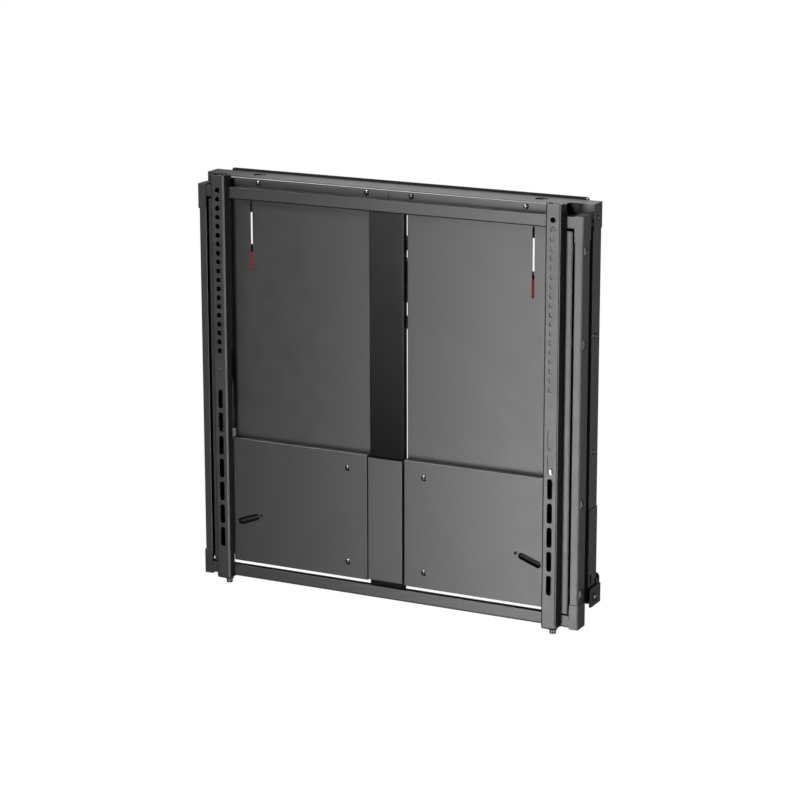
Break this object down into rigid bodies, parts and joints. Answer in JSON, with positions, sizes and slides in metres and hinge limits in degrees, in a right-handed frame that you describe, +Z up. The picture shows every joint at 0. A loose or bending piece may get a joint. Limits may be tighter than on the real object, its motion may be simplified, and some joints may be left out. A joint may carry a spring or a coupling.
{
  "type": "height-adjustable tv wall mount",
  "caption": "Spring-balanced tv wall mount: a shallow steel box hangs on wall rails, and a lift frame with hooked display brackets slides up its front.",
  "frame": {"origin": "middle of the upper wall bolt line, on the wall plane", "axes": "X to the right as seen from the room, Y into the wall, Z up"},
  "size_m": [0.7164, 0.092, 0.7037],
  "materials": {
    "powder_coat": "satin charcoal powder coat",
    "black_paint": "satin black paint",
    "black_screw": "black oxide",
    "zinc": "zinc plated",
    "steel": "bright steel",
    "spring_steel": "oiled spring wire",
    "pulley_plastic": "moulded black nylon",
    "belt_rubber": "black rubber",
    "pointer_red": "red plastic"
  },
  "bodies": {
    "wall_box": {"top_channel": "powder_coat", "bottom_rail": "powder_coat", "side_channel_left": "powder_coat", "side_channel_right": "powder_coat", "side_cheeks": "powder_coat", "front_panel_left": "powder_coat", "front_panel_right": "powder_coat", "crossbar": "black_paint", "wall_rail_upper": "black_paint", "wall_rail_lower": "black_paint", "channel_screws": "black_screw", "side_screws": "black_screw", "rail_bolts": "zinc", "slides_fixed": "black_paint", "bearing_blocks": "black_paint", "thrust_washers": "steel", "shafts": "steel", "guide_rods": "steel", "lift_belt": "belt_rubber", "spring_belt": "belt_rubber"},
    "lift_frame": {"cross_member_top": "powder_coat", "cross_member_bottom": "powder_coat", "frame_rail_left": "powder_coat", "frame_rail_right": "powder_coat", "corner_caps": "powder_coat", "centre_column": "powder_coat", "lower_cover_left": "powder_coat", "lower_cover_right": "powder_coat", "centre_cover": "powder_coat", "slot_rods": "black_paint", "carriage_plates": "black_paint", "carriage_angles": "zinc", "slide_inner_left": "powder_coat", "slide_inner_right": "powder_coat", "inner_glides": "pulley_plastic", "lift_arm": "black_paint", "cover_screws": "black_screw"},
    "slide_left": {"slide_middle_left": "black_paint", "middle_glides_left": "pulley_plastic"},
    "slide_right": {"slide_middle_right": "black_paint", "middle_glides_right": "pulley_plastic"},
    "bracket_left": {"display_bracket_left": "powder_coat"},
    "bracket_right": {"display_bracket_right": "powder_coat"},
    "clamp_left": {"clamp_screw_left": "black_screw"},
    "clamp_right": {"clamp_screw_right": "black_screw"},
    "yoke_left": {"spring_yoke_left": "black_paint", "pointer_left": "pointer_red"},
    "yoke_right": {"spring_yoke_right": "black_paint", "pointer_right": "pointer_red"},
    "adjuster_left": {"adjusting_screw_left": "zinc"},
    "adjuster_right": {"adjusting_screw_right": "zinc"},
    "spring_carriage": {"spring_beam": "zinc", "spring_studs": "steel", "springs_left": "spring_steel", "springs_right": "spring_steel"},
    "drum": {"drum": "pulley_plastic"},
    "lift_idler": {"lift_idler": "pulley_plastic"},
    "spring_idler": {"spring_idler": "pulley_plastic"},
    "lock_left": {"lock_screw_left": "black_screw"},
    "lock_right": {"lock_screw_right": "black_screw"}
  },
  "joints": [
    {"name": "lift", "type": "slide", "parent": "wall_box", "child": "lift_frame", "axis": [0, 0, 1], "range_m": [0, 0.4]},
    {"name": "slide_left_extend", "type": "slide", "parent": "wall_box", "child": "slide_left", "axis": [0, 0, 1], "range_m": [0, 0.2]},
    {"name": "slide_right_extend", "type": "slide", "parent": "wall_box", "child": "slide_right", "axis": [0, 0, 1], "range_m": [0, 0.2]},
    {"name": "spring_carriage_rise", "type": "slide", "parent": "wall_box", "child": "spring_carriage", "axis": [0, 0, 1], "range_m": [0, 0.2], "deforming": ["springs_left", "springs_right"]},
    {"name": "drum_turn", "type": "hinge", "parent": "wall_box", "child": "drum", "pos_m": [0, -0.0471, -0.126], "axis": [0, 1, 0], "range_deg": [-295, 0]},
    {"name": "lift_idler_turn", "type": "hinge", "parent": "wall_box", "child": "lift_idler", "pos_m": [0.05455, -0.0471, -0.593], "axis": [0, 1, 0], "range_deg": [-960, 0]},
    {"name": "spring_idler_turn", "type": "hinge", "parent": "wall_box", "child": "spring_idler", "pos_m": [0.02428, -0.0329, -0.593], "axis": [0, 1, 0], "range_deg": [-770, 0]},
    {"name": "bracket_left_slide", "type": "slide", "parent": "lift_frame", "child": "bracket_left", "axis": [1, 0, 0], "range_m": [0, 0.2]},
    {"name": "clamp_screw_left_turn", "type": "hinge", "parent": "bracket_left", "child": "clamp_left", "pos_m": [-0.3, -0.072, -0.67], "axis": [0, 0, 1], "range_deg": [0, 720]},
    {"name": "spring_yoke_left_rise", "type": "slide", "parent": "wall_box", "child": "yoke_left", "axis": [0, 0, 1], "range_m": [0, 0.06], "deforming": ["springs_left"]},
    {"name": "adjusting_screw_left_turn", "type": "hinge", "parent": "wall_box", "child": "adjuster_left", "pos_m": [-0.2537, -0.031, 0], "axis": [0, 0, 1], "range_deg": [0, 12400]},
    {"name": "lock_screw_left_turn", "type": "hinge", "parent": "wall_box", "child": "lock_left", "pos_m": [-0.35, -0.026, -0.615], "axis": [-1, 0, 0], "range_deg": [0, 1080]},
    {"name": "bracket_right_slide", "type": "slide", "parent": "lift_frame", "child": "bracket_right", "axis": [-1, 0, 0], "range_m": [0, 0.2]},
    {"name": "clamp_screw_right_turn", "type": "hinge", "parent": "bracket_right", "child": "clamp_right", "pos_m": [0.3, -0.072, -0.67], "axis": [0, 0, 1], "range_deg": [0, 720]},
    {"name": "spring_yoke_right_rise", "type": "slide", "parent": "wall_box", "child": "yoke_right", "axis": [0, 0, 1], "range_m": [0, 0.06], "deforming": ["springs_right"]},
    {"name": "adjusting_screw_right_turn", "type": "hinge", "parent": "wall_box", "child": "adjuster_right", "pos_m": [0.2537, -0.031, 0], "axis": [0, 0, 1], "range_deg": [0, 12400]},
    {"name": "lock_screw_right_turn", "type": "hinge", "parent": "wall_box", "child": "lock_right", "pos_m": [0.35, -0.026, -0.615], "axis": [1, 0, 0], "range_deg": [0, 1080]}
  ],
  "couplings": [
    {"joint": "slide_left_extend", "follows": "lift", "ratio": 0.5},
    {"joint": "slide_right_extend", "follows": "lift", "ratio": 0.5},
    {"joint": "spring_carriage_rise", "follows": "lift", "ratio": 0.5},
    {"joint": "drum_turn", "follows": "lift", "rad_per_m": -12.731},
    {"joint": "lift_idler_turn", "follows": "lift", "rad_per_m": -41.667},
    {"joint": "spring_idler_turn", "follows": "lift", "rad_per_m": -33.333},
    {"joint": "adjusting_screw_left_turn", "follows": "spring_yoke_left_rise", "rad_per_m": 3590.4},
    {"joint": "adjusting_screw_right_turn", "follows": "spring_yoke_right_rise", "rad_per_m": 3590.4}
  ]
}
